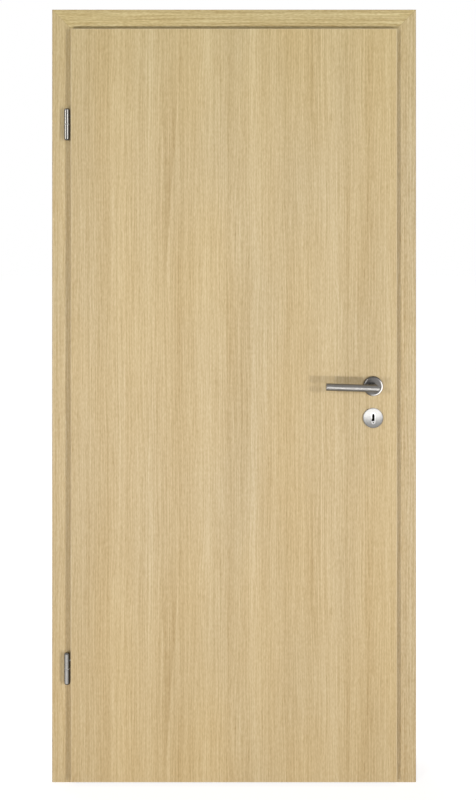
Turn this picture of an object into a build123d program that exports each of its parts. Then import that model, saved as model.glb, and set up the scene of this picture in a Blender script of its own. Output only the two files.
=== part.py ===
from build123d import *
import math
import os

# Rebated interior flush door in a mitred timber lining, with hinges, lock and lever furniture.
# Millimetres. x runs along the wall from the outer face of the hinge-side lining, y runs into the wall
# from the middle of its thickness, z runs up from the floor. The leaf opens towards -y.

# Leaf
leaf_width = 860
leaf_height = 1985
leaf_thickness = 40
leaf_edge_radius = 2
rear_edge_radius = 1
rebate_width = 13
rebate_depth = 25.5
skin_thickness = 3
stile_width = 35
rail_height = 35

# Gaps around the closed leaf
floor_gap = 9
hinge_gap = 5
lock_gap = 6
head_gap = 7
lip_gap = 5
seal_gap = 5

# Lining and architraves
wall_thickness = 145
lining_thickness = 25
stop_width = 15
architrave_width = 60
architrave_thickness = 16
architrave_edge_radius = 2
rear_reveal = 8

# Gasket in the stop
seal_width = 8
seal_projection = 4
seal_offset = 10
seal_foot_width = 3
seal_foot_depth = 5
groove_clearance = 0.1

# Hinges
hinge_spacing = 1435
upper_hinge_drop = 252
hinge_offset = 10
hinge_stand_off = 13
barrel_diameter = 15
barrel_end_radius = 5.5
barrel_split_chamfer = 0.6
knuckle_length = 42
washer_thickness = 1
pin_diameter = 7
pin_length = 70
pin_running_clearance = 0.1
pin_fixed_clearance = 0.02
frame_stud_diameter = 8
frame_stud_depth = 13
leaf_stud_diameter = 6.5
leaf_stud_depth = 36
leaf_stud_set_back = 1.5
stud_clearance = 0.05

# Lever furniture
furniture_inset = 64
lever_height = 1053
key_drop = 84
rose_diameter = 52
rose_thickness = 10
rose_rim = 4.5
rose_face_diameter = 42
bar_diameter = 19
bar_stand_off = 50
bar_reach = 127
bar_tilt = 1.9
bar_tip_chamfer = 0.8
neck_clearance = 0.3
neck_seat_gap = 0.5
spindle_size = 8
spindle_clearance = 0.05
spindle_socket_depth = 30
spindle_hole_diameter = 16

# Plate around the keyhole: pear-shaped, wide at the top
insert_height = 30.5
insert_top_diameter = 14
insert_bottom_diameter = 11
insert_proud = 0.5
insert_clearance = 0.05
keyhole_rise = 2.6
keyhole_height = 19
keyhole_lobe_radius = 3.3
keyhole_lobe_offset = -0.1
keyhole_left = -3.2
keyhole_right = 2.8
keyhole_shoulder = 1.5
keyhole_foot_left = -4.8
keyhole_foot_height = 4.5
keyhole_slope = 1.5
key_slot_width = 13
key_slot_height = 24
pin_dot_diameter = 3.2
pin_dot_drop = 11
pin_dot_depth = 2.5

# Lock in the leaf's edge
lock_line = 10.5
forend_width = 18
forend_height = 235
forend_thickness = 3
forend_drop = 30
case_width = 14
case_depth = 82
case_height = 170
case_drop = 38
mortise_clearance = 0.5
latch_thickness = 10
latch_height = 32
latch_rise = 12
bolt_thickness = 9
bolt_height = 42
bolt_rise = 6
bolt_proud = 0.8
bolt_clearance = 0.2

# Strike plate in the lock-side rebate
strike_width = 22
strike_height = 180
strike_thickness = 2
strike_margin = 2
strike_opening_clearance = 1.5
strike_pocket_depth = 8

# Places along the wall
passage_left = lining_thickness
rebate_left = passage_left - stop_width
body_left = rebate_left + hinge_gap
leaf_left = body_left - rebate_width
leaf_right = leaf_left + leaf_width
body_right = leaf_right - rebate_width
rebate_right = body_right + lock_gap
passage_right = rebate_right - stop_width
frame_left = rebate_left - architrave_width
frame_right = rebate_right + architrave_width
core_left = body_left + stile_width
core_right = body_right - stile_width

# Heights
leaf_bottom = floor_gap
leaf_top = leaf_bottom + leaf_height
body_top = leaf_top - rebate_width
rebate_head = body_top + head_gap
passage_head = rebate_head - stop_width
frame_top = rebate_head + architrave_width
key_height = lever_height - key_drop
upper_hinge_height = leaf_top - upper_hinge_drop
lower_hinge_height = upper_hinge_height - hinge_spacing

# Places through the wall
wall_front = -wall_thickness / 2
wall_rear = wall_thickness / 2
casing_front = wall_front - architrave_thickness
lip_back = casing_front - lip_gap
leaf_front = lip_back - (leaf_thickness - rebate_depth)
leaf_rear = leaf_front + leaf_thickness
front_skin_back = leaf_front + skin_thickness
rear_skin_front = leaf_rear - skin_thickness
stop_plane = leaf_rear + seal_gap + seal_projection
lock_middle = leaf_rear - lock_line

# Axes of the moving parts
hinge_x = leaf_left - hinge_offset
hinge_y = casing_front - hinge_stand_off
furniture_x = leaf_right - furniture_inset
bar_y = leaf_front - bar_stand_off

# Planes that pieces are mirrored about or mitred along
door_middle = Plane.YZ.offset((passage_left + passage_right) / 2)
leaf_middle = Plane.YZ.offset((leaf_left + leaf_right) / 2)
leaf_half_thickness = Plane.XZ.offset(-(leaf_front + leaf_rear) / 2)
hinge_mitre = Plane(origin=(passage_left, 0, passage_head), z_dir=(1, 0, 1))
lock_mitre = Plane(origin=(passage_right, 0, passage_head), z_dir=(-1, 0, 1))

os.makedirs("parts", exist_ok=True)


def keep(piece, name):
    """Label a finished piece and write it."""
    piece.part.label = name
    export_step(piece.part, f"parts/{name}.step")


def block(x_span, y_span, z_span, mode=Mode.ADD):
    """Box between two limits along each axis, for the piece being made."""
    with Locations((x_span[0], y_span[0], z_span[0])):
        Box(
            x_span[1] - x_span[0],
            y_span[1] - y_span[0],
            z_span[1] - z_span[0],
            align=(Align.MIN, Align.MIN, Align.MIN),
            mode=mode,
        )


def rod(start, direction, radius, length, mode=Mode.ADD):
    """Cylinder from a point along a direction, for the piece being made."""
    with Locations(Plane(origin=start, z_dir=direction)):
        Cylinder(radius, length, align=(Align.CENTER, Align.CENTER, Align.MIN), mode=mode)


def span(middle, size):
    """Limits of a size centred on a place."""
    return (middle - size / 2, middle + size / 2)


def mitred_post(section):
    """Lock-side upright of a section drawn outwards from the passage, cut at the top mitre."""
    with BuildPart() as post:
        with BuildSketch(Plane.XY):
            with Locations((passage_right, 0)):
                add(section)
        extrude(amount=frame_top)
        split(bisect_by=lock_mitre, keep=Keep.BOTTOM)
    return post.part


def mitred_head(section):
    """Head of the same section, cut at both mitres."""
    with BuildPart() as head:
        with BuildSketch(Plane(origin=(frame_right, 0, passage_head), x_dir=(0, 0, 1), z_dir=(-1, 0, 0))):
            add(section)
        extrude(amount=frame_right - frame_left)
        split(bisect_by=hinge_mitre, keep=Keep.TOP)
        split(bisect_by=lock_mitre, keep=Keep.TOP)
    return head.part


# Sections of the frame: x is the distance outwards from the passage, y as in the door
seal_middle = stop_width - seal_offset

with BuildSketch() as lining_section:
    with Locations((0, stop_plane)):
        Rectangle(lining_thickness, wall_rear - stop_plane, align=(Align.MIN, Align.MIN))
    with Locations((seal_middle, stop_plane)):
        Rectangle(
            seal_foot_width + 2 * groove_clearance,
            seal_foot_depth + groove_clearance,
            align=(Align.CENTER, Align.MIN),
            mode=Mode.SUBTRACT,
        )

with BuildSketch() as front_architrave_section:
    with Locations((stop_width, casing_front)):
        Rectangle(architrave_width, architrave_thickness, align=(Align.MIN, Align.MIN))
    with Locations((stop_width, wall_front)):
        Rectangle(lining_thickness - stop_width, stop_plane - wall_front, align=(Align.MIN, Align.MIN))
    fillet(front_architrave_section.vertices().group_by(Axis.Y)[0], architrave_edge_radius)

with BuildSketch() as rear_architrave_section:
    with Locations((rear_reveal, wall_rear)):
        Rectangle(architrave_width, architrave_thickness, align=(Align.MIN, Align.MIN))
    fillet(rear_architrave_section.vertices().group_by(Axis.Y)[-1], architrave_edge_radius)

with BuildSketch() as seal_section:
    with BuildLine():
        ThreePointArc(
            (seal_middle - seal_width / 2, stop_plane),
            (seal_middle, stop_plane - seal_projection),
            (seal_middle + seal_width / 2, stop_plane),
        )
        Line(
            (seal_middle + seal_width / 2, stop_plane),
            (seal_middle - seal_width / 2, stop_plane),
        )
    make_face()
    with Locations((seal_middle, stop_plane)):
        Rectangle(seal_foot_width, seal_foot_depth, align=(Align.CENTER, Align.MIN))

# Lining boards, rear architraves and gasket
for section, lock_name, hinge_name, head_name in (
    (lining_section, "lock_jamb", "hinge_jamb", "head_jamb"),
    (rear_architrave_section, "rear_architrave_lock", "rear_architrave_hinge", "rear_architrave_head"),
    (seal_section, "seal_lock", "seal_hinge", "seal_head"),
):
    with BuildPart() as lock_post:
        add(mitred_post(section.sketch))
    keep(lock_post, lock_name)

    with BuildPart() as hinge_post:
        mirror(lock_post.part, about=door_middle)
    keep(hinge_post, hinge_name)

    with BuildPart() as head_piece:
        add(mitred_head(section.sketch))
    keep(head_piece, head_name)

# Front architraves: each has a leg that lines the rebate
hinge_heights = (upper_hinge_height, lower_hinge_height)
frame_stud_height = -(washer_thickness + knuckle_length) / 2
leaf_stud_height = (washer_thickness + knuckle_length) / 2

with BuildPart() as front_architrave_hinge:
    mirror(mitred_post(front_architrave_section.sketch), about=door_middle)
    for hinge_height in hinge_heights:
        rod(
            (hinge_x, casing_front, hinge_height + frame_stud_height),
            (0, 1, 0),
            frame_stud_diameter / 2 + stud_clearance,
            frame_stud_depth + stud_clearance,
            mode=Mode.SUBTRACT,
        )
keep(front_architrave_hinge, "front_architrave_hinge")

strike_y_span = (casing_front + strike_margin, casing_front + strike_margin + strike_width)
strike_z_span = span(lever_height - forend_drop, strike_height)
bolts = {
    "latch_bolt": (latch_thickness, lever_height + latch_rise, latch_height),
    "dead_bolt": (bolt_thickness, key_height + bolt_rise, bolt_height),
}


def bolt_window(bolt, clearance):
    """Limits in y and z of a bolt's section grown by a clearance."""
    thickness, height, length = bolt
    return span(lock_middle, thickness + 2 * clearance), span(height, length + 2 * clearance)


with BuildPart() as front_architrave_lock:
    add(mitred_post(front_architrave_section.sketch))
    block((rebate_right, rebate_right + strike_thickness), strike_y_span, strike_z_span, mode=Mode.SUBTRACT)
    for bolt in bolts.values():
        block(
            (rebate_right, rebate_right + strike_pocket_depth),
            *bolt_window(bolt, strike_opening_clearance),
            mode=Mode.SUBTRACT,
        )
keep(front_architrave_lock, "front_architrave_lock")

with BuildPart() as front_architrave_head:
    add(mitred_head(front_architrave_section.sketch))
keep(front_architrave_head, "front_architrave_head")

with BuildPart() as strike_plate:
    block((rebate_right, rebate_right + strike_thickness), strike_y_span, strike_z_span)
    for bolt in bolts.values():
        block(
            (rebate_right, rebate_right + strike_thickness),
            *bolt_window(bolt, strike_opening_clearance),
            mode=Mode.SUBTRACT,
        )
keep(strike_plate, "strike_plate")

# Cuts through the leaf for the spindle, the key and the lock
forend_x_span = (body_right - forend_thickness, body_right)
case_x_span = (forend_x_span[0] - case_depth, forend_x_span[0])
mortise_x_span = (case_x_span[0] - mortise_clearance, case_x_span[1])
mortise_y_span = span(lock_middle, case_width + 2 * mortise_clearance)
mortise_z_span = span(lever_height - case_drop, case_height + 2 * mortise_clearance)
forend_y_span = span(lock_middle, forend_width)
forend_z_span = span(lever_height - forend_drop, forend_height)
key_slot_middle = key_height + keyhole_rise


def cut_spindle_hole(y_span):
    """Opening for the spindle through the piece being made."""
    rod(
        (furniture_x, y_span[0], lever_height),
        (0, 1, 0),
        spindle_hole_diameter / 2,
        y_span[1] - y_span[0],
        mode=Mode.SUBTRACT,
    )


def cut_key_slot(y_span):
    """Opening for the key through the piece being made, as far as the lock case."""
    block(
        span(furniture_x, key_slot_width),
        y_span,
        span(key_slot_middle, key_slot_height),
        mode=Mode.SUBTRACT,
    )


# Leaf: two skins on a frame of stiles and rails around a core
with BuildPart() as leaf_front_skin:
    block((leaf_left, leaf_right), (leaf_front, front_skin_back), (leaf_bottom, leaf_top))
    fillet(leaf_front_skin.faces().sort_by(Axis.Y)[0].edges(), leaf_edge_radius)
    cut_spindle_hole((leaf_front, front_skin_back))
    cut_key_slot((leaf_front, front_skin_back))
keep(leaf_front_skin, "leaf_front_skin")

with BuildPart() as leaf_rear_skin:
    block((body_left, body_right), (rear_skin_front, leaf_rear), (leaf_bottom, body_top))
    fillet(leaf_rear_skin.faces().sort_by(Axis.Y)[-1].edges(), rear_edge_radius)
    cut_spindle_hole((rear_skin_front, leaf_rear))
    cut_key_slot((rear_skin_front, leaf_rear))
    block(forend_x_span, forend_y_span, forend_z_span, mode=Mode.SUBTRACT)
keep(leaf_rear_skin, "leaf_rear_skin")

with BuildPart() as plain_stile:
    block((leaf_left, core_left), (front_skin_back, lip_back), (leaf_bottom, leaf_top))
    block((body_left, core_left), (lip_back, rear_skin_front), (leaf_bottom, body_top))

with BuildPart() as leaf_hinge_stile:
    add(plain_stile.part)
    for hinge_height in hinge_heights:
        rod(
            (leaf_left, hinge_y + leaf_stud_set_back, hinge_height + leaf_stud_height),
            (1, 0, 0),
            leaf_stud_diameter / 2 + stud_clearance,
            leaf_stud_depth + stud_clearance,
            mode=Mode.SUBTRACT,
        )
keep(leaf_hinge_stile, "leaf_hinge_stile")

with BuildPart() as leaf_lock_stile:
    mirror(plain_stile.part, about=leaf_middle)
    block(forend_x_span, forend_y_span, forend_z_span, mode=Mode.SUBTRACT)
    block(mortise_x_span, mortise_y_span, mortise_z_span, mode=Mode.SUBTRACT)
keep(leaf_lock_stile, "leaf_lock_stile")

with BuildPart() as leaf_top_rail:
    block((core_left, core_right), (front_skin_back, lip_back), (body_top - rail_height, leaf_top))
    block((core_left, core_right), (lip_back, rear_skin_front), (body_top - rail_height, body_top))
keep(leaf_top_rail, "leaf_top_rail")

with BuildPart() as leaf_bottom_rail:
    block(
        (core_left, core_right),
        (front_skin_back, rear_skin_front),
        (leaf_bottom, leaf_bottom + rail_height),
    )
keep(leaf_bottom_rail, "leaf_bottom_rail")

with BuildPart() as leaf_core:
    block(
        (core_left, core_right),
        (front_skin_back, rear_skin_front),
        (leaf_bottom + rail_height, body_top - rail_height),
    )
    block(mortise_x_span, mortise_y_span, mortise_z_span, mode=Mode.SUBTRACT)
    cut_spindle_hole((front_skin_back, rear_skin_front))
    cut_key_slot((front_skin_back, rear_skin_front))
keep(leaf_core, "leaf_core")

# Lock: the latch and the dead bolt are drawn back
with BuildPart() as lock_case:
    block(case_x_span, span(lock_middle, case_width), span(lever_height - case_drop, case_height))
    cut_spindle_hole(span(lock_middle, case_width))
keep(lock_case, "lock_case")

with BuildPart() as lock_forend:
    block(forend_x_span, forend_y_span, forend_z_span)
    for bolt in bolts.values():
        block(forend_x_span, *bolt_window(bolt, bolt_clearance), mode=Mode.SUBTRACT)
keep(lock_forend, "lock_forend")

for name, bolt in bolts.items():
    with BuildPart() as bolt_end:
        block((forend_x_span[0], forend_x_span[1] + bolt_proud), *bolt_window(bolt, 0))
    keep(bolt_end, name)

# Hinges: the lower knuckle stands on the architrave and carries the pin, the upper one is in the leaf
for name, hinge_height in zip(("upper_hinge", "lower_hinge"), hinge_heights):
    washer_bottom = hinge_height - washer_thickness / 2
    washer_top = hinge_height + washer_thickness / 2

    with BuildPart() as frame_knuckle:
        rod((hinge_x, hinge_y, washer_bottom), (0, 0, -1), barrel_diameter / 2, knuckle_length)
        fillet(frame_knuckle.edges().group_by(Axis.Z)[0], barrel_end_radius)
        chamfer(frame_knuckle.edges().group_by(Axis.Z)[-1], barrel_split_chamfer)
        rod(
            (hinge_x, hinge_y, hinge_height + frame_stud_height),
            (0, 1, 0),
            frame_stud_diameter / 2,
            hinge_stand_off + frame_stud_depth,
        )
        rod(
            (hinge_x, hinge_y, washer_bottom),
            (0, 0, -1),
            pin_diameter / 2 + pin_fixed_clearance,
            (pin_length - washer_thickness) / 2,
            mode=Mode.SUBTRACT,
        )
    keep(frame_knuckle, f"{name}_frame_knuckle")

    with BuildPart() as leaf_knuckle:
        rod((hinge_x, hinge_y, washer_top), (0, 0, 1), barrel_diameter / 2, knuckle_length)
        fillet(leaf_knuckle.edges().group_by(Axis.Z)[-1], barrel_end_radius)
        chamfer(leaf_knuckle.edges().group_by(Axis.Z)[0], barrel_split_chamfer)
        rod(
            (hinge_x, hinge_y + leaf_stud_set_back, hinge_height + leaf_stud_height),
            (1, 0, 0),
            leaf_stud_diameter / 2,
            hinge_offset + leaf_stud_depth,
        )
        rod(
            (hinge_x, hinge_y, washer_top),
            (0, 0, 1),
            pin_diameter / 2 + pin_running_clearance,
            (pin_length - washer_thickness) / 2 + pin_running_clearance,
            mode=Mode.SUBTRACT,
        )
    keep(leaf_knuckle, f"{name}_leaf_knuckle")

    with BuildPart() as hinge_pin:
        rod((hinge_x, hinge_y, hinge_height - pin_length / 2), (0, 0, 1), pin_diameter / 2, pin_length)
    keep(hinge_pin, f"{name}_pin")

    with BuildPart() as hinge_washer:
        rod(
            (hinge_x, hinge_y, washer_bottom),
            (0, 0, 1),
            barrel_diameter / 2 - barrel_split_chamfer,
            washer_thickness,
        )
        rod(
            (hinge_x, hinge_y, washer_bottom),
            (0, 0, 1),
            pin_diameter / 2 + pin_fixed_clearance,
            washer_thickness,
            mode=Mode.SUBTRACT,
        )
    keep(hinge_washer, f"{name}_washer")


# Furniture on the front of the leaf
lever_centre = (furniture_x, leaf_front, lever_height)
key_centre = (furniture_x, leaf_front, key_height)
rose_radius = rose_diameter / 2
face_radius = rose_face_diameter / 2


def rose_section(centre):
    """Plane of a rose's half section: local x runs outwards from the centre, local y out of the leaf."""
    return Plane(origin=centre, x_dir=(1, 0, 0), z_dir=(0, 0, -1))


# Lever rose: a flat disc with a softly rounded edge
with BuildPart() as front_lever_rose:
    with BuildSketch(rose_section(lever_centre)):
        with BuildLine():
            Polyline((0, rose_thickness), (0, 0), (rose_radius, 0), (rose_radius, rose_rim))
            EllipticalCenterArc(
                (face_radius, rose_rim),
                rose_radius - face_radius,
                rose_thickness - rose_rim,
                start_angle=0,
                arc_size=90,
            )
            Line((face_radius, rose_thickness), (0, rose_thickness))
        make_face()
    revolve(axis=Axis(lever_centre, (0, -1, 0)))
    rod(
        lever_centre,
        (0, -1, 0),
        bar_diameter / 2 + neck_clearance,
        rose_thickness,
        mode=Mode.SUBTRACT,
    )


def domed_cover(proud):
    """Lens-shaped cover around the keyhole, raised by an amount."""
    with BuildPart() as cover:
        with BuildSketch(rose_section(key_centre)):
            with BuildLine():
                Polyline(
                    (0, rose_thickness + proud),
                    (0, 0),
                    (rose_radius, 0),
                    (rose_radius, rose_rim + proud),
                )
                TangentArc(
                    (0, rose_thickness + proud),
                    (rose_radius, rose_rim + proud),
                    tangent=(1, 0),
                )
            make_face()
        revolve(axis=Axis(key_centre, (0, -1, 0)))
    return cover.part


# Key rose and its plate; in the plane of the outline x runs towards the lock side and y runs up
key_face = Plane(origin=key_centre, x_dir=(1, 0, 0), z_dir=(0, -1, 0))
insert_top_centre = (0, (insert_height - insert_top_diameter) / 2)
insert_bottom_centre = (0, (insert_bottom_diameter - insert_height) / 2)


def insert_outline(clearance):
    """Outline of the plate around the keyhole, grown by a clearance."""
    with BuildSketch(key_face) as outline:
        with Locations(insert_top_centre):
            Circle(insert_top_diameter / 2 + clearance)
        with Locations(insert_bottom_centre):
            Circle(insert_bottom_diameter / 2 + clearance)
        make_hull()
    return outline.sketch


with BuildPart() as front_key_rose:
    add(domed_cover(0))
    extrude(insert_outline(insert_clearance), amount=rose_thickness, mode=Mode.SUBTRACT)

keyhole_top = keyhole_rise + keyhole_height / 2
keyhole_bottom = keyhole_rise - keyhole_height / 2
lobe_left = keyhole_lobe_offset - keyhole_lobe_radius
lobe_right = keyhole_lobe_offset + keyhole_lobe_radius
lobe_height = keyhole_top - keyhole_lobe_radius
shoulder_height = keyhole_rise + keyhole_shoulder
foot_height = keyhole_bottom + keyhole_foot_height

with BuildPart() as front_keyhole_insert:
    extrude(insert_outline(0), amount=rose_thickness + insert_proud)
    add(domed_cover(insert_proud), mode=Mode.INTERSECT)
    with BuildSketch(key_face):
        with BuildLine():
            ThreePointArc(
                (lobe_right, lobe_height),
                (keyhole_lobe_offset, keyhole_top),
                (lobe_left, lobe_height),
            )
            Polyline(
                (lobe_left, lobe_height),
                (keyhole_left, foot_height + keyhole_slope),
                (keyhole_foot_left, foot_height),
                (keyhole_foot_left, keyhole_bottom),
                (keyhole_right, keyhole_bottom),
                (keyhole_right, shoulder_height - keyhole_slope),
                (lobe_right, shoulder_height),
                (lobe_right, lobe_height),
            )
        make_face()
    extrude(amount=rose_thickness + insert_proud, mode=Mode.SUBTRACT)
    rod(
        (furniture_x, leaf_front - rose_thickness - insert_proud, key_height - pin_dot_drop),
        (0, 1, 0),
        pin_dot_diameter / 2,
        pin_dot_depth,
        mode=Mode.SUBTRACT,
    )

# Lever: a round bar mitred to its neck, its tip a little raised
neck_end = (furniture_x, leaf_front - neck_seat_gap, lever_height)
bar_corner = (furniture_x, bar_y, lever_height)
bar_tip = (
    furniture_x - bar_reach * math.cos(math.radians(bar_tilt)),
    bar_y,
    lever_height + bar_reach * math.sin(math.radians(bar_tilt)),
)
socket_front = leaf_front - spindle_socket_depth

with BuildPart() as front_lever:
    with BuildLine() as lever_path:
        Polyline(neck_end, bar_corner, bar_tip)
    with BuildSketch(Plane(origin=neck_end, z_dir=(0, -1, 0))):
        Circle(bar_diameter / 2)
    sweep(path=lever_path.wire(), transition=Transition.RIGHT)
    chamfer(front_lever.faces().sort_by(Axis.X)[0].edges(), bar_tip_chamfer)
    block(
        span(furniture_x, spindle_size + 2 * spindle_clearance),
        (socket_front - spindle_clearance, leaf_front),
        span(lever_height, spindle_size + 2 * spindle_clearance),
        mode=Mode.SUBTRACT,
    )

# The same furniture on both faces
for furniture, name in (
    (front_lever_rose, "lever_rose"),
    (front_key_rose, "key_rose"),
    (front_keyhole_insert, "keyhole_insert"),
    (front_lever, "lever"),
):
    keep(furniture, f"front_{name}")
    with BuildPart() as rear_furniture:
        mirror(furniture.part, about=leaf_half_thickness)
    keep(rear_furniture, f"rear_{name}")

with BuildPart() as spindle:
    block(
        span(furniture_x, spindle_size),
        (socket_front, leaf_front + leaf_rear - socket_front),
        span(lever_height, spindle_size),
    )
keep(spindle, "spindle")
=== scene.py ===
import math

import bmesh
import bpy
from mathutils import Matrix, Vector


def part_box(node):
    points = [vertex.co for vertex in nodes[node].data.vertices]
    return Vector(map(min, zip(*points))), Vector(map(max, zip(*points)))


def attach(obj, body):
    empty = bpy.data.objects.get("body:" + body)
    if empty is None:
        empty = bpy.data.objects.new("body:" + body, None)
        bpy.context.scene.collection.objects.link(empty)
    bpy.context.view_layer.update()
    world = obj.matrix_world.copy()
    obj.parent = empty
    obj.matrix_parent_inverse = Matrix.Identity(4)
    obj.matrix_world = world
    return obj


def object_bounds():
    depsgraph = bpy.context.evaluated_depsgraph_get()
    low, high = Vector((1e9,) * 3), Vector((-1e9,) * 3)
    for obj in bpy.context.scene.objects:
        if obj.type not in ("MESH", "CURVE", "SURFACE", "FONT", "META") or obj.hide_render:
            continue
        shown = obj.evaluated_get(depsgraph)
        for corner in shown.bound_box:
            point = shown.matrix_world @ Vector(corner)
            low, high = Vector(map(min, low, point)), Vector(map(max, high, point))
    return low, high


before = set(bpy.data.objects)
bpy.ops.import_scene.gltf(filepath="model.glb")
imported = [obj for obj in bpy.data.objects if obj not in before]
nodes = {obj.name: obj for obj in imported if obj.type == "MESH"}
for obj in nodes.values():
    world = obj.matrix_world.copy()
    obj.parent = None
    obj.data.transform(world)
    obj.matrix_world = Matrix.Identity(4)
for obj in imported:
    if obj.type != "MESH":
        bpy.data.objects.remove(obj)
cad_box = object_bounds()


def linear(red, green, blue):
    """Colour given in display levels from 0 to 255, as the linear colour that a socket takes."""
    levels = []
    for level in (red, green, blue):
        share = level / 255
        levels.append(share / 12.92 if share <= 0.04045 else ((share + 0.055) / 1.055) ** 2.4)
    return (*levels, 1)


WHITE = (1, 1, 1, 1)

# Picture frame and level camera
IMAGE_HEIGHT = 800
HORIZON_ROW = 242.1
FOCAL_PIXELS = 1063.8
SENSOR_HEIGHT = 36
CAMERA_DISTANCE = 2.8
CAMERA_HEIGHT = 1.4316
CAMERA_SIDESTEP = 0.0109

# Lights: azimuth and elevation in degrees seen from the target, distance in metres, half width and
# half height in degrees, and radiance, where 1 is the white of the background
AMBIENT_LEVEL = 0.2
LAMPS = {
    "lamp_left_low": (-28.7, -12.0, 3.85, (1.5, 1.5), 290),
    "lamp_left_high": (-28.7, 10.7, 3.83, (1.5, 4), 120),
    "lamp_right_low": (37.0, -11.0, 4.2, (1.5, 1.5), 295),
    "lamp_right_high": (37.0, 9.8, 4.2, (1.5, 4), 100),
}
# The casing's head gets one high lamp's share from low down instead, so that the leaf's top edge shades it
HEAD_LAMP = (*LAMPS["lamp_left_low"][:4], 400)
REAR_LIGHT = (205, 35, 4.0, (26, 26), 3.5)
# Panels that only the metal of some pieces mirrors
PANELS = {
    "lever": ((-26, -16, 4.0, (3, 25), 36), (33, -16, 4.0, (3, 25), 36)),
    "lever_rose": ((64, -30, 4.0, (38, 50), 15), (-50, 25, 4.0, (8, 20), 13)),
    "key_rose": ((0, 24, 4.0, (60, 38), 4.4),),
    "keyhole_insert": ((0, 30, 4.0, (60, 30), 1.6),),
    "upper_hinge": ((-59, 0, 4.0, (6, 30), 14), (28, 0, 4.0, (6, 30), 13)),
    "lower_hinge": ((-15, -20, 4.0, (45, 30), 2.3),),
}

# Floor: its own glow near the door and far from it, the two distances, its colour and half its width
FLOOR_GLOW = (0.87, 0.95)
FLOOR_GLOW_REACH = (1.5, 6)
FLOOR_COLOUR = (0.3, 0.28, 0.26, 1)
FLOOR_REACH = 40
FLOOR_SEGMENTS = 8

# Finishes: the tones between which the roughness changes, and those of a finish's dark and light shade
GLOSS_TONES = (0.3, 0.7)
SHADE_TONES = (0.25, 0.75)
# A face looks along an axis where its normal's share of that axis is above this
FACING_SHARE = 0.5

# Printed oak decor: the print repeats along the grain
DECOR_REPEAT = 1.3
DECOR_RADIUS = DECOR_REPEAT / (2 * math.pi)
# Noises of the decor: changes per metre across and along the grain, and octaves of detail
DECOR_NOISES = {
    "wander": (6, 1.1, 1),
    "hue": (7, 1.6, 1),
    "groups": (9, 1.0, 1),
    "bands": (14, 0.6, 1),
    "streaks": (52, 0.6, 2),
    "jitter": (75, 3.5, 1),
    "lines": (150, 0.9, 2),
    "fine_lines": (380, 4.5, 0),
    "pores": (430, 28, 0),
    "speckle": (430, 110, 0),
}
# Weight of each part of the decor in its tone
DECOR_WEIGHTS = {
    "bands": 0.17,
    "streaks": 0.12,
    "lines": 0.22,
    "fine_lines": 0.12,
    "comb": 0.04,
    "pores": -0.05,
    "speckle": 0.17,
}
# How far the grain wanders to the side
WANDER_REACH = 0.022
# The noise levels at which a group of lines is faint and full, and how strong it is there
GROUP_LEVELS = (0.38, 0.66)
GROUP_STRENGTH = (0.3, 1.0)
# The noise levels at which a pore begins and is full
PORE_LEVELS = (0.56, 0.74)
# Comb of fine lines: their mean spacing, and how far they stray from it
COMB_SPACING = 0.0066
COMB_JITTER = 0.02
# Growth lines on the leaf: x and z of the middle, sway to the side, width of the soft side, strength
GROWTH_LINES = (
    (0.268, 1.60, 0.015, 0.045, 0.08),
    (0.478, 1.08, 0.004, 0.080, 0.04),
    (0.777, 1.36, 0.012, 0.030, 0.05),
    (0.640, 0.60, -0.006, 0.050, 0.04),
)
GROWTH_SHARP_SIDE = 0.003
# Cosine of the way round the print at which a growth line, coming from its end, has its full strength
GROWTH_FADE = 0.8
# Colours of the oak by its tone, and its hue by a noise and by the share of the whole height
OAK_TONES = (
    (0.25, linear(172, 143, 97)),
    (0.5, linear(206, 183, 141)),
    (0.75, linear(232, 214, 177)),
)
OAK_HUES = (
    (0.3, (0.985, 1.0, 1.03, 1)),
    (0.5, WHITE),
    (0.7, (1.01, 1.0, 0.97, 1)),
)
HUE_BY_HEIGHT = (
    (0.0, (1, 0.985, 0.945, 1)),
    (0.4, (1, 1.01, 1.03, 1)),
    (0.8, (1, 1.02, 1.02, 1)),
    (1.0, (1, 1.02, 0.95, 1)),
)
OAK_ROUGHNESS = 0.52
OAK_ROUGHNESS_SPREAD = 0.06
OAK_SPECULAR = 0.35
OAK_RELIEF_DEPTH = 0.00006
LINE_RELIEF = 0.5
# Painted highlight along the outer edges of the leaf and painted shade along those of the casing: the
# distances from the edge at which the tint is full and gone
EDGE_LIGHT_BAND = (0.0012, 0.0032)
EDGE_LIGHT_STRENGTH = 0.35
LEAF_EDGE_HIGHLIGHT = linear(232, 216, 182)
CASING_EDGE_SHADE = linear(176, 146, 96)
# Seam of the casing's mitres: the distances from it at which the dark line is full and gone
MITRE_BAND = (0.0004, 0.0012)
MITRE_STRENGTH = 0.25
MITRE_COLOUR = linear(110, 84, 50)
# Boards of the frame: grain, shade, contrast, outward side, tint of the casing
BOARDS = {
    "hinge": ("Z", -0.01, 1.0, "-X", (1, 1.01, 1.02, 1)),
    "lock": ("Z", -0.045, 1.2, "+X", (1, 1.03, 1.1, 1)),
    "head": ("X", -0.01, 1.6, "+Z", (1, 1.03, 1, 1)),
}
# Where in the noise each layer of boards takes its figure, and how far its boards lie apart there
LEAF_FIGURE = (3.1, 0.0, 1.3)
FRONT_FIGURE = (0.0, 2.0, 0.0)
REAR_FIGURE = (0.0, 5.0, 2.0)
LINING_FIGURE = (4.0, 9.0, 0.0)
FIGURE_STEP = 7.3

# Chipboard: changes per metre of its flakes and of its surface, weights of the flakes, colours by the tone
COARSE_FLAKES = (160, 160, 110)
COARSE_WEIGHT = 1.2
FINE_FLAKES = (700, 700, 500)
FINE_WEIGHT = 1.0
CHIPBOARD_TONES = (
    (0.25, linear(128, 98, 62)),
    (0.5, linear(184, 152, 108)),
    (0.8, linear(214, 188, 146)),
)
CHIPBOARD_ROUGHNESS = 0.85
CHIPBOARD_SURFACE = (500, 500, 500)
CHIPBOARD_DEPTH = 0.0003

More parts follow.
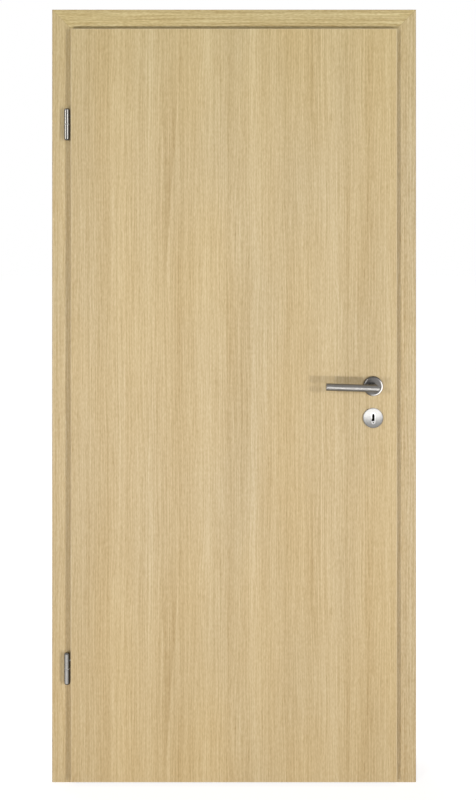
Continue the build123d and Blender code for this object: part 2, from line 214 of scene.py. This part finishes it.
# Metal: weights of the scratches and of soft clouds in its tone, spread of its shades and of its roughness
SCRATCH_WEIGHT = 0.9
SCRATCH_DEPTH = 0.000003
METAL_CLOUDS = (60, 60, 60)
METAL_CLOUD_WEIGHT = 0.3
METAL_SHADE_SPREAD = 0.18
METAL_ROUGHNESS_SPREAD = 0.05
QUARTER_TURN = 0.25
# Painted shade: dark colour on the steep walls of the keyhole, on the key rose's steep rim and in the
# dimple
PAINTED_SHADE_COLOUR = linear(30, 29, 28)
# Blind dimple under the keyhole, painted dark as its shade: its rise above the insert's lowest point, and
# its radius
DIMPLE_RISE = 0.0042
DIMPLE_RADIUS = 0.0017

# Rubber and plastic: changes per metre of the skin and of soft clouds, their weights, and the spreads
SKIN_GRAIN = (900, 900, 900)
SKIN_WEIGHT = 0.5
SKIN_DEPTH = 0.00003
RUBBER_CLOUDS = (40, 40, 8)
RUBBER_CLOUD_WEIGHT = 0.6
RUBBER_SHADE_SPREAD = 0.25
RUBBER_ROUGHNESS_SPREAD = 0.08

# Screw heads: their radius, how far they stand proud, and how far from the plate's end they sit
SCREW_RADIUS = 0.0036
SCREW_PROUD = 0.0004
SCREW_MARGIN = 0.011
SCREW_SIDES = 32
# Shares of the radius: the flat top, and the cross recess's half width and arm
SCREW_TOP = 0.82
RECESS_HALF_WIDTH = 0.14
RECESS_ARM = 0.58
# Shares of the height: the straight rim, and the depth of the recess below the seat
SCREW_RIM = 0.3
RECESS_DEPTH = 0.4

# Places in the frame
leaf_low, leaf_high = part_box("leaf_front_skin")
leaf_middle = (leaf_low + leaf_high) / 2
passage_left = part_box("hinge_jamb")[1].x
passage_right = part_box("lock_jamb")[0].x
passage_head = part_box("head_jamb")[0].z
door_middle = (passage_left + passage_right) / 2
half_passage = (passage_right - passage_left) / 2
wall_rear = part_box("rear_architrave_head")[0].y
floor_level = cad_box[0][2]
door_top = cad_box[1][2]
# The casing has no lower edge, so its outline runs on below the floor
casing_outline = (
    Vector((cad_box[0][0], 0, floor_level - half_passage)),
    Vector((cad_box[1][0], 0, door_top)),
)
insert_low, insert_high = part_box("front_keyhole_insert")
insert_middle = (insert_low + insert_high) / 2
forend_low, forend_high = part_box("lock_forend")
strike_low, strike_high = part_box("strike_plate")


class Finish:
    """A material and short calls for the nodes that the finishes share."""

    def __init__(self, name):
        self.material = bpy.data.materials.new(name)
        self.material.use_nodes = True
        self.tree = self.material.node_tree
        self.shader = self.tree.nodes["Principled BSDF"]
        coordinates = self.tree.nodes.new("ShaderNodeTexCoord")
        self.place = coordinates.outputs["Object"]
        self.facing = coordinates.outputs["Normal"]

    def put(self, socket, value):
        """Link a socket to another node's output, or set it."""
        if isinstance(value, bpy.types.NodeSocket):
            self.tree.links.new(value, socket)
        else:
            socket.default_value = value

    def surface(self, **settings):
        """Set or link the shader's own sockets."""
        for name, value in settings.items():
            self.put(self.shader.inputs[name.replace("_", " ")], value)

    def math(self, operation, first, second=0.0):
        node = self.tree.nodes.new("ShaderNodeMath")
        node.operation = operation
        self.put(node.inputs[0], first)
        self.put(node.inputs[1], second)
        return node.outputs[0]

    def total(self, *values):
        """Sum of several values."""
        result = values[0]
        for value in values[1:]:
            result = self.math("ADD", result, value)
        return result

    def distance(self, first, second):
        """How far apart two values are."""
        return self.math("ABSOLUTE", self.math("SUBTRACT", first, second))

    def weighted(self, value, weight):
        """A noise's departure from its middle, times a weight."""
        return self.math("MULTIPLY", self.math("SUBTRACT", value, 0.5), weight)

    def split(self, vector):
        node = self.tree.nodes.new("ShaderNodeSeparateXYZ")
        self.put(node.inputs[0], vector)
        return node.outputs["X"], node.outputs["Y"], node.outputs["Z"]

    def join(self, x, y, z):
        node = self.tree.nodes.new("ShaderNodeCombineXYZ")
        for socket, value in zip(node.inputs, (x, y, z)):
            self.put(socket, value)
        return node.outputs[0]

    def noise(self, place, scale, offset=(0, 0, 0), detail=2.0, roughness=0.5):
        mapping = self.tree.nodes.new("ShaderNodeMapping")
        self.put(mapping.inputs["Vector"], place)
        mapping.inputs["Location"].default_value = offset
        mapping.inputs["Scale"].default_value = scale
        node = self.tree.nodes.new("ShaderNodeTexNoise")
        self.put(node.inputs["Vector"], mapping.outputs[0])
        node.inputs["Scale"].default_value = 1
        node.inputs["Detail"].default_value = detail
        node.inputs["Roughness"].default_value = roughness
        return node.outputs["Fac"]

    def remap(self, value, low, high, new_low=0.0, new_high=1.0):
        """A value taken from one range to another and kept within it."""
        node = self.tree.nodes.new("ShaderNodeMapRange")
        self.put(node.inputs["Value"], value)
        node.inputs["From Min"].default_value = low
        node.inputs["From Max"].default_value = high
        node.inputs["To Min"].default_value = new_low
        node.inputs["To Max"].default_value = new_high
        return node.outputs["Result"]

    def ramp(self, value, *stops):
        """Colour by a value, from stops of a position and a colour."""
        node = self.tree.nodes.new("ShaderNodeValToRGB")
        self.put(node.inputs["Fac"], value)
        elements = node.color_ramp.elements
        while len(elements) < len(stops):
            elements.new(0.5)
        for element, (position, colour) in zip(elements, stops):
            element.position = position
            element.color = colour
        return node.outputs["Color"]

    def mix(self, factor, first, second, blend="MIX"):
        node = self.tree.nodes.new("ShaderNodeMix")
        node.data_type = "RGBA"
        node.blend_type = blend
        self.put(node.inputs["Factor"], factor)
        colours = [socket for socket in node.inputs if socket.type == "RGBA"]
        self.put(colours[0], first)
        self.put(colours[1], second)
        return next(socket for socket in node.outputs if socket.type == "RGBA")

    def shades(self, tone, colour, spread):
        """A colour that a tone makes darker or lighter by up to a share of it."""
        dark, light = (
            tuple(level * strength for level in colour[:3]) + (1,) for strength in (1 - spread, 1 + spread)
        )
        return self.ramp(tone, *zip(SHADE_TONES, (dark, light)))

    def gloss(self, tone, roughness, spread):
        """Roughness that falls as the tone rises."""
        return self.remap(tone, *GLOSS_TONES, roughness + spread, roughness - spread)

    def bump(self, height, distance):
        node = self.tree.nodes.new("ShaderNodeBump")
        node.inputs["Distance"].default_value = distance
        self.put(node.inputs["Height"], height)
        return node.outputs["Normal"]


def chipboard(finish):
    """Colour of raw chipboard: flakes of two sizes."""
    coarse = finish.noise(finish.place, COARSE_FLAKES, detail=3)
    fine = finish.noise(finish.place, FINE_FLAKES)
    flakes = finish.total(0.5, finish.weighted(coarse, COARSE_WEIGHT), finish.weighted(fine, FINE_WEIGHT))
    return finish.ramp(flakes, *CHIPBOARD_TONES)


def raw_faces(finish, outward, back):
    """Where a board is left raw: on its back, and on the outward side within the wall."""
    x, y, z = finish.split(finish.facing)
    sign = -1 if outward[0] == "-" else 1
    outwards = finish.math("MULTIPLY", x if outward[1] == "X" else z, sign)
    side = finish.math("GREATER_THAN", outwards, FACING_SHARE)
    depth = finish.math("ABSOLUTE", finish.split(finish.place)[1])
    within_wall = finish.math("LESS_THAN", depth, wall_rear)
    raw = finish.math("MULTIPLY", side, within_wall)
    if back:
        behind = finish.math("GREATER_THAN", finish.math("MULTIPLY", y, back), FACING_SHARE)
        raw = finish.math("MAXIMUM", raw, behind)
    return raw


def growth_line(finish, across, angle, place, along, sway, soft_side, strength):
    """Darker line of the decor, soft on one side, that fades out at its ends and recurs in each print."""
    phase = finish.math("SUBTRACT", angle, along / DECOR_RADIUS)
    bend = finish.math("MULTIPLY", finish.math("SINE", phase), sway)
    aside = finish.math("SUBTRACT", finish.math("SUBTRACT", across, place), bend)
    soft = finish.remap(aside, -soft_side, 0.0)
    sharp = finish.remap(aside, 0.0, GROWTH_SHARP_SIDE, -strength, 0.0)
    length = finish.remap(finish.math("COSINE", phase), 0.0, GROWTH_FADE)
    return finish.math("MULTIPLY", finish.math("MULTIPLY", soft, sharp), length)


def decor(finish, grain, offset, growth_lines):
    """Pattern, relief and hue of the printed oak. Its noises lie on a ring, so that the print repeats."""
    x, y, z = finish.split(finish.place)
    across, along = (x, z) if grain == "Z" else (z, x)
    angle = finish.math("DIVIDE", along, DECOR_RADIUS)
    ring = [finish.math("MULTIPLY", finish.math(wave, angle), DECOR_RADIUS) for wave in ("COSINE", "SINE")]

    def noise(kind, place):
        across_scale, along_scale, detail = DECOR_NOISES[kind]
        return finish.noise(place, (across_scale, along_scale, along_scale), offset, detail)

    def share(kind, value):
        return finish.weighted(value, DECOR_WEIGHTS[kind])

    wrapped = finish.math("ADD", across, y)
    straight = finish.join(wrapped, *ring)
    wander = finish.weighted(noise("wander", straight), WANDER_REACH)
    wandered = finish.math("ADD", wrapped, wander)
    grown = finish.join(wandered, *ring)
    groups = finish.remap(noise("groups", grown), *GROUP_LEVELS, *GROUP_STRENGTH)
    lines = noise("lines", grown)
    pores = finish.remap(noise("pores", grown), *PORE_LEVELS)
    jitter = finish.weighted(noise("jitter", grown), COMB_JITTER)
    comb_place = finish.math("ADD", wandered, jitter)
    comb = finish.math("SINE", finish.math("MULTIPLY", comb_place, 2 * math.pi / COMB_SPACING))
    pattern = finish.total(
        share("bands", noise("bands", grown)),
        share("streaks", noise("streaks", grown)),
        finish.math("MULTIPLY", share("lines", lines), groups),
        share("fine_lines", noise("fine_lines", grown)),
        finish.math("MULTIPLY", comb, DECOR_WEIGHTS["comb"]),
        finish.math("MULTIPLY", pores, DECOR_WEIGHTS["pores"]),
        share("speckle", noise("speckle", grown)),
        *(growth_line(finish, across, angle, *line) for line in growth_lines),
    )
    relief = finish.math("SUBTRACT", finish.weighted(lines, LINE_RELIEF), pores)
    hue = finish.ramp(noise("hue", straight), *OAK_HUES)
    return pattern, relief, hue


def edge_light_and_shade(finish, colour, outline, edge_light_colour):
    """Painted highlight or painted shade along the outer edges of an outline, given by its lowest and
    highest corners.
    """
    x, _, z = finish.split(finish.place)
    low, high = outline
    middle = (low + high) / 2
    half = (high - low) / 2
    inset = finish.math(
        "MINIMUM",
        finish.math("SUBTRACT", half.x, finish.distance(x, middle.x)),
        finish.math("SUBTRACT", half.z, finish.distance(z, middle.z)),
    )
    return finish.mix(finish.remap(inset, *EDGE_LIGHT_BAND, EDGE_LIGHT_STRENGTH, 0.0), colour, edge_light_colour)


def mitre_seam(finish, colour):
    """A dark line where the casing's boards meet in the upper corners."""
    x, _, z = finish.split(finish.place)
    reach = finish.math("SUBTRACT", finish.distance(x, door_middle), half_passage)
    rise = finish.math("SUBTRACT", z, passage_head)
    seam = finish.remap(finish.distance(rise, reach), *MITRE_BAND, MITRE_STRENGTH, 0.0)
    return finish.mix(seam, colour, MITRE_COLOUR)


def oak(
    name,
    grain,
    offset,
    shade=0.0,
    contrast=1.0,
    outward=None,
    back=0,
    mitred=False,
    growth_lines=(),
    outline=None,
    edge_light_colour=None,
    tint=WHITE,
):
    """Light oak decor. The grain runs along x or z, and the offset gives each board its own figure."""
    finish = Finish(name)
    pattern, relief, hue = decor(finish, grain, offset, growth_lines)
    tone = finish.total(0.5 + shade, finish.math("MULTIPLY", pattern, contrast))
    height = finish.split(finish.place)[2]
    drift = finish.ramp(finish.remap(height, floor_level, door_top), *HUE_BY_HEIGHT)
    colour = finish.ramp(tone, *OAK_TONES)
    for layer in (hue, tint, drift):
        colour = finish.mix(1.0, colour, layer, "MULTIPLY")
    # Painted highlight along the leaf's edges, painted shade along the casing's outer edges
    if outline:
        colour = edge_light_and_shade(finish, colour, outline, edge_light_colour)
    if mitred:
        colour = mitre_seam(finish, colour)
    if outward:
        colour = finish.mix(raw_faces(finish, outward, back), colour, chipboard(finish))
    finish.surface(
        Base_Color=colour,
        Roughness=finish.gloss(tone, OAK_ROUGHNESS, OAK_ROUGHNESS_SPREAD),
        Specular_IOR_Level=OAK_SPECULAR,
        Normal=finish.bump(relief, OAK_RELIEF_DEPTH),
    )
    return finish.material


def dimple(finish):
    """Where the blind dimple under the keyhole is, which is painted dark as its shade."""
    x, _, z = finish.split(finish.place)
    sideways = finish.math("SUBTRACT", x, insert_middle.x)
    upwards = finish.math("SUBTRACT", z, insert_low.z + DIMPLE_RISE)
    spread = finish.math("ADD", finish.math("POWER", sideways, 2), finish.math("POWER", upwards, 2))
    return finish.math("LESS_THAN", spread, DIMPLE_RADIUS**2)


def brushed_steel(name, colour, roughness, brushing, anisotropy=0.0, shaded_slope=None, shade_in_dimple=False):
    """Brushed metal. The brushing gives how fast the scratches change along each axis.

    The shaded slope says at which two shares of the way round to the front a face is fully dark with
    painted shade and no longer dark, and how strongly.
    """
    finish = Finish(name)
    scratches = finish.noise(finish.place, brushing, detail=3, roughness=0.7)
    cloud = finish.noise(finish.place, METAL_CLOUDS)
    tone = finish.total(
        0.5, finish.weighted(scratches, SCRATCH_WEIGHT), finish.weighted(cloud, METAL_CLOUD_WEIGHT)
    )
    metal = finish.shades(tone, colour, METAL_SHADE_SPREAD)
    # Painted shade on steep faces, such as the keyhole's walls and the key rose's rim
    if shaded_slope:
        steep, gentle, strength = shaded_slope
        front = finish.math("ABSOLUTE", finish.split(finish.facing)[1])
        metal = finish.mix(finish.remap(front, steep, gentle, strength, 0.0), metal, PAINTED_SHADE_COLOUR)
    # Painted shade in the blind dimple under the keyhole
    if shade_in_dimple:
        metal = finish.mix(dimple(finish), metal, PAINTED_SHADE_COLOUR)
    finish.surface(
        Base_Color=metal,
        Metallic=1.0,
        Roughness=finish.gloss(tone, roughness, METAL_ROUGHNESS_SPREAD),
        Anisotropic=anisotropy,
        Anisotropic_Rotation=QUARTER_TURN,
        Normal=finish.bump(scratches, SCRATCH_DEPTH),
    )
    if anisotropy:
        tangent = finish.tree.nodes.new("ShaderNodeTangent")
        tangent.direction_type = "RADIAL"
        tangent.axis = "X"
        finish.surface(Tangent=tangent.outputs[0])
    return finish.material


def rubber(name, colour, roughness):
    """Matt rubber or plastic with a fine moulded skin."""
    finish = Finish(name)
    grain = finish.noise(finish.place, SKIN_GRAIN, detail=3)
    cloud = finish.noise(finish.place, RUBBER_CLOUDS)
    tone = finish.total(
        0.5, finish.weighted(grain, SKIN_WEIGHT), finish.weighted(cloud, RUBBER_CLOUD_WEIGHT)
    )
    finish.surface(
        Base_Color=finish.shades(tone, colour, RUBBER_SHADE_SPREAD),
        Roughness=finish.gloss(tone, roughness, RUBBER_ROUGHNESS_SPREAD),
        Normal=finish.bump(grain, SKIN_DEPTH),
    )
    return finish.material


def raw_board(name):
    """Chipboard that shows inside the cuts of the leaf."""
    finish = Finish(name)
    surface = finish.noise(finish.place, CHIPBOARD_SURFACE, detail=3)
    finish.surface(
        Base_Color=chipboard(finish),
        Roughness=CHIPBOARD_ROUGHNESS,
        Normal=finish.bump(surface, CHIPBOARD_DEPTH),
    )
    return finish.material


def dress(names, material):
    """Give CAD nodes a finish."""
    for name in names:
        node = nodes[name]
        if not node.material_slots:
            node.data.materials.append(material)
        for slot in node.material_slots:
            slot.material = material


def figure_place(layer, number):
    """Where in the noise a board of the frame takes its figure."""
    shift = FIGURE_STEP * (number + 1)
    return (layer[0] + shift, layer[1], layer[2] + shift)


# Oak on the leaf, which is printed in one piece, and chipboard within it
leaf_boards = [
    "leaf_front_skin",
    "leaf_rear_skin",
    "leaf_hinge_stile",
    "leaf_lock_stile",
    "leaf_top_rail",
    "leaf_bottom_rail",
]
# The leaf's edges get a painted highlight
leaf_oak = oak(
    "oak_leaf",
    "Z",
    LEAF_FIGURE,
    growth_lines=GROWTH_LINES,
    outline=(leaf_low, leaf_high),
    edge_light_colour=LEAF_EDGE_HIGHLIGHT,
)
dress(leaf_boards, leaf_oak)
dress(["leaf_core"], raw_board("chipboard"))

# Oak on each board of the casing and the lining
# The casing's boards get dark mitre joints and a painted shade along their outer edges
casing = {"mitred": True, "outline": casing_outline, "edge_light_colour": CASING_EDGE_SHADE}
for number, (side, (grain, shade, contrast, outward, tint)) in enumerate(BOARDS.items()):
    board = {"grain": grain, "shade": shade, "contrast": contrast, "outward": outward}
    for face, layer, back in (("front", FRONT_FIGURE, 1), ("rear", REAR_FIGURE, -1)):
        offset = figure_place(layer, number)
        casing_oak = oak(f"oak_{face}_{side}", offset=offset, back=back, tint=tint, **board, **casing)
        dress([f"{face}_architrave_{side}"], casing_oak)
    lining_oak = oak(f"oak_lining_{side}", offset=figure_place(LINING_FIGURE, number), **board)
    dress([f"{side}_jamb"], lining_oak)

# Rubber and plastic
gasket = rubber("gasket", linear(104, 84, 62), roughness=0.6)
washer_plastic = rubber("washer_plastic", linear(205, 204, 200), roughness=0.4)
dress([f"seal_{side}" for side in BOARDS], gasket)
dress(["upper_hinge_washer", "lower_hinge_washer"], washer_plastic)

# Metal
lever_steel = brushed_steel(
    "lever_steel", linear(120, 118, 115), roughness=0.4, brushing=(2400, 60, 60), anisotropy=0.8
)
rose_steel = brushed_steel("rose_steel", linear(88, 86, 84), roughness=0.32, brushing=(60, 60, 2600))
# The key rose's steep rim gets painted shade
key_rose_steel = brushed_steel(
    "key_rose_steel",
    linear(129, 128, 126),
    roughness=0.45,
    brushing=(60, 60, 2600),
    shaded_slope=(0.914, 0.928, 0.65),
)
# The keyhole's walls and the dimple under it get painted shade
insert_steel = brushed_steel(
    "insert_steel",
    linear(215, 214, 212),
    roughness=0.4,
    brushing=(60, 60, 1800),
    shaded_slope=(0.3, 0.6, 1.0),
    shade_in_dimple=True,
)
hinge_nickel = brushed_steel("hinge_nickel", linear(106, 104, 101), roughness=0.14, brushing=(60, 60, 900))
lock_steel = brushed_steel("lock_steel", linear(190, 188, 184), roughness=0.34, brushing=(500, 2200, 40))
# The lock case inside the leaf is dark steel so that the keyhole shows painted shade
keyhole_shade_steel = brushed_steel("keyhole_shade_steel", linear(50, 49, 47), roughness=0.5, brushing=(500, 2200, 40))
hinge_metal = [
    f"{place}_hinge_{piece}"
    for place in ("upper", "lower")
    for piece in ("frame_knuckle", "leaf_knuckle", "pin")
]
dress(["front_lever", "rear_lever"], lever_steel)
dress(["front_lever_rose", "rear_lever_rose"], rose_steel)
dress(["front_key_rose", "rear_key_rose"], key_rose_steel)
dress(["front_keyhole_insert", "rear_keyhole_insert"], insert_steel)
dress(hinge_metal, hinge_nickel)
dress(["lock_forend", "latch_bolt", "dead_bolt", "strike_plate", "spindle"], lock_steel)
dress(["lock_case"], keyhole_shade_steel)


def link_to_scene(thing):
    bpy.context.scene.collection.objects.link(thing)
    return thing


def recess_cross():
    """Outline of a screw's cross recess."""
    half_width = RECESS_HALF_WIDTH * SCREW_RADIUS
    arm = RECESS_ARM * SCREW_RADIUS
    quarter = [(arm, -half_width), (arm, half_width), (half_width, half_width)]
    points = []
    for turn in range(4):
        spin = Matrix.Rotation(turn * math.pi / 2, 2)
        points += [spin @ Vector(point) for point in quarter]
    return points


def circle(radius):
    """Points round a circle."""
    turns = [2 * math.pi * side / SCREW_SIDES for side in range(SCREW_SIDES)]
    return [(radius * math.cos(turn), radius * math.sin(turn)) for turn in turns]


def neighbours(loop):
    """Each vertex of a closed loop with the next one."""
    return zip(loop, loop[1:] + loop[:1])


def screw(name, seat, direction, body, material):
    """Low screw head with a recess; the seat is a point on the face that it stands on."""
    shape = bmesh.new()

    def loop_at(outline, height):
        return [shape.verts.new((*point, height)) for point in outline]

    foot = loop_at(circle(SCREW_RADIUS), -SCREW_PROUD)
    rim = loop_at(circle(SCREW_RADIUS), SCREW_RIM * SCREW_PROUD)
    top = loop_at(circle(SCREW_TOP * SCREW_RADIUS), SCREW_PROUD)
    mouth = loop_at(recess_cross(), SCREW_PROUD)
    bottom = loop_at(recess_cross(), -RECESS_DEPTH * SCREW_PROUD)
    shape.faces.new(list(reversed(foot)))
    for lower, upper in ((foot, rim), (rim, top), (mouth, bottom)):
        for (low, next_low), (high, next_high) in zip(neighbours(lower), neighbours(upper)):
            shape.faces.new((low, next_low, next_high, high))
    shape.faces.new(bottom)
    borders = [shape.edges.get(pair) for loop in (top, mouth) for pair in neighbours(loop)]
    bmesh.ops.triangle_fill(shape, edges=borders, use_beauty=True)
    bmesh.ops.recalc_face_normals(shape, faces=shape.faces)
    mesh = bpy.data.meshes.new(name)
    shape.to_mesh(mesh)
    shape.free()
    piece = link_to_scene(bpy.data.objects.new(name, mesh))
    turn = Vector(direction).to_track_quat("Z", "Y").to_matrix().to_4x4()
    mesh.transform(Matrix.Translation(seat) @ turn)
    mesh.materials.append(material)
    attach(piece, body)


# Screws in the lock's forend and the strike plate
for name, low, high, face, direction, body in (
    ("forend_screw", forend_low, forend_high, forend_high.x, (1, 0, 0), "leaf"),
    ("strike_screw", strike_low, strike_high, strike_low.x, (-1, 0, 0), "frame"),
):
    middle = (low.y + high.y) / 2
    for end, height in (("upper", high.z - SCREW_MARGIN), ("lower", low.z + SCREW_MARGIN)):
        seat = Vector((face, middle, height))
        screw(f"{name}_{end}", seat, direction, body, lock_steel)


def aim(thing, position, target):
    """Place a light so that it shines at a target."""
    thing.location = position
    thing.rotation_euler = (target - position).to_track_quat("-Z", "Y").to_euler()


def direction_from_front(azimuth, elevation):
    """Unit vector from the door, azimuth towards the lock side from straight ahead."""
    turn = math.radians(azimuth)
    rise = math.radians(elevation)
    return Vector((math.sin(turn) * math.cos(rise), -math.cos(turn) * math.cos(rise), math.sin(rise)))


def area_light(name, target, azimuth, elevation, distance, half_size, radiance):
    """Rectangular light of a given radiance, aimed at a target."""
    data = bpy.data.lights.new(name, "AREA")
    data.shape = "RECTANGLE"
    data.size, data.size_y = (2 * distance * math.tan(math.radians(half)) for half in half_size)
    data.energy = radiance * math.pi * data.size * data.size_y
    light = link_to_scene(bpy.data.objects.new(name, data))
    aim(light, target + direction_from_front(azimuth, elevation) * distance, target)
    light.visible_camera = False
    return light


def make_lamps():
    """Lamps in front of the door and a light behind it."""
    lamps = {"head_lamp": area_light("head_lamp", leaf_middle, *HEAD_LAMP)}
    for name, settings in LAMPS.items():
        lamps[name] = area_light(name, leaf_middle, *settings)
    for lamp in lamps.values():
        lamp.visible_glossy = False
    for name, state in (("head_lamp", "INCLUDE"), ("lamp_left_high", "EXCLUDE")):
        group = bpy.data.collections.new(f"{name}_head")
        group.objects.link(nodes["front_architrave_head"])
        group.collection_objects[0].light_linking.link_state = state
        lamps[name].light_linking.receiver_collection = group
    area_light("rear_light", leaf_middle, *REAR_LIGHT)


def make_panels():
    """Panels that the metal mirrors."""
    mirrors = {
        "lever": ["front_lever"],
        "lever_rose": ["front_lever_rose"],
        "key_rose": ["front_key_rose"],
        "keyhole_insert": ["front_keyhole_insert"],
        "upper_hinge": [name for name in hinge_metal if name.startswith("upper")],
        "lower_hinge": [name for name in hinge_metal if name.startswith("lower")],
    }
    for kind, panels in PANELS.items():
        group = bpy.data.collections.new(f"{kind}_mirrors")
        corners = []
        for name in mirrors[kind]:
            group.objects.link(nodes[name])
            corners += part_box(name)
        target = sum(corners, Vector()) / len(corners)
        for number, settings in enumerate(panels):
            panel = area_light(f"{kind}_panel_{number}", target, *settings)
            panel.visible_diffuse = False
            panel.light_linking.receiver_collection = group


def seen_directly(tree):
    """1 for rays from the camera and for mirrored or refracted views, 0 for light off matt surfaces."""
    path = tree.nodes.new("ShaderNodeLightPath")
    mirrored = tree.nodes.new("ShaderNodeMath")
    mirrored.operation = "MAXIMUM"
    tree.links.new(path.outputs["Is Glossy Ray"], mirrored.inputs[0])
    tree.links.new(path.outputs["Is Transmission Ray"], mirrored.inputs[1])
    seen = tree.nodes.new("ShaderNodeMath")
    seen.operation = "MAXIMUM"
    tree.links.new(path.outputs["Is Camera Ray"], seen.inputs[0])
    tree.links.new(mirrored.outputs[0], seen.inputs[1])
    return seen.outputs[0]


def make_world():
    """White background that lights the door at a lower level."""
    world = bpy.data.worlds.new("studio")
    bpy.context.scene.world = world
    world.use_nodes = True
    tree = world.node_tree
    level = tree.nodes.new("ShaderNodeMapRange")
    level.inputs["To Min"].default_value = AMBIENT_LEVEL
    level.inputs["To Max"].default_value = 1
    tree.links.new(seen_directly(tree), level.inputs["Value"])
    background = tree.nodes["Background"]
    background.inputs["Color"].default_value = WHITE
    tree.links.new(level.outputs["Result"], background.inputs["Strength"])


def floor_finish():
    """Pale matt floor that glows by itself, a little more far from the door, so that it looks white."""
    finish = Finish("floor")
    x, y, _ = finish.split(finish.place)
    squares = finish.math("ADD", finish.math("POWER", x, 2), finish.math("POWER", y, 2))
    level = finish.remap(finish.math("SQRT", squares), *FLOOR_GLOW_REACH, *FLOOR_GLOW)
    finish.surface(
        Base_Color=FLOOR_COLOUR,
        Roughness=1.0,
        Specular_IOR_Level=0.0,
        Emission_Color=WHITE,
        Emission_Strength=finish.math("MULTIPLY", seen_directly(finish.tree), level),
    )
    return finish.material


def make_floor():
    """Floor that looks white where no shadow falls and lets the low lights through."""
    shape = bmesh.new()
    bmesh.ops.create_grid(shape, x_segments=FLOOR_SEGMENTS, y_segments=FLOOR_SEGMENTS, size=FLOOR_REACH)
    mesh = bpy.data.meshes.new("floor")
    shape.to_mesh(mesh)
    shape.free()
    floor = link_to_scene(bpy.data.objects.new("floor", mesh))
    floor.location = (leaf_middle.x, 0, floor_level)
    floor.visible_shadow = False
    floor.visible_glossy = False
    mesh.materials.append(floor_finish())


def make_camera():
    """Level camera straight in front of the leaf, with the horizon moved up by lens shift."""
    data = bpy.data.cameras.new("camera")
    data.sensor_fit = "VERTICAL"
    data.sensor_height = SENSOR_HEIGHT
    data.lens = FOCAL_PIXELS * SENSOR_HEIGHT / IMAGE_HEIGHT
    data.shift_y = (HORIZON_ROW - IMAGE_HEIGHT / 2) / IMAGE_HEIGHT
    camera = link_to_scene(bpy.data.objects.new("camera", data))
    camera.location = (leaf_middle.x + CAMERA_SIDESTEP, leaf_low.y - CAMERA_DISTANCE, CAMERA_HEIGHT)
    camera.rotation_euler = (math.radians(90), 0, 0)
    bpy.context.scene.camera = camera


make_lamps()
make_panels()
make_world()
make_floor()
make_camera()
bpy.context.scene.view_settings.view_transform = "Standard"
